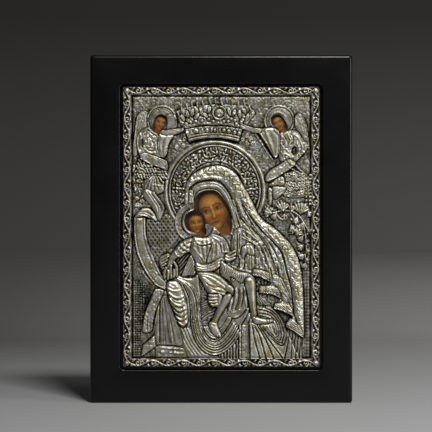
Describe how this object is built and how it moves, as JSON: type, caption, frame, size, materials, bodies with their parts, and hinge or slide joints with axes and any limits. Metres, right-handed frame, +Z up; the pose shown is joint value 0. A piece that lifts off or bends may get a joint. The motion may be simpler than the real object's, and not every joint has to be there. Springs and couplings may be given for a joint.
{
  "type": "silver-covered icon panel",
  "caption": "Small upright icon: a black wooden board with a recessed painted panel under an embossed silver cover, its painted faces showing through openings.",
  "frame": {"origin": "under the middle of the whole object's box, on the surface it stands on", "axes": "+Z up along the board's height, +Y towards the board's plain back, -Y out of the embossed front"},
  "size_m": [0.211, 0.031, 0.28],
  "materials": {
    "lacquered_wood": "black satin lacquer",
    "painted_wood": "painted",
    "oxidised_silver": "chased and oxidised"
  },
  "bodies": {
    "root": {"board": "lacquered_wood", "painted_panel": "painted_wood", "silver_cover": "oxidised_silver"}
  },
  "joints": []
}
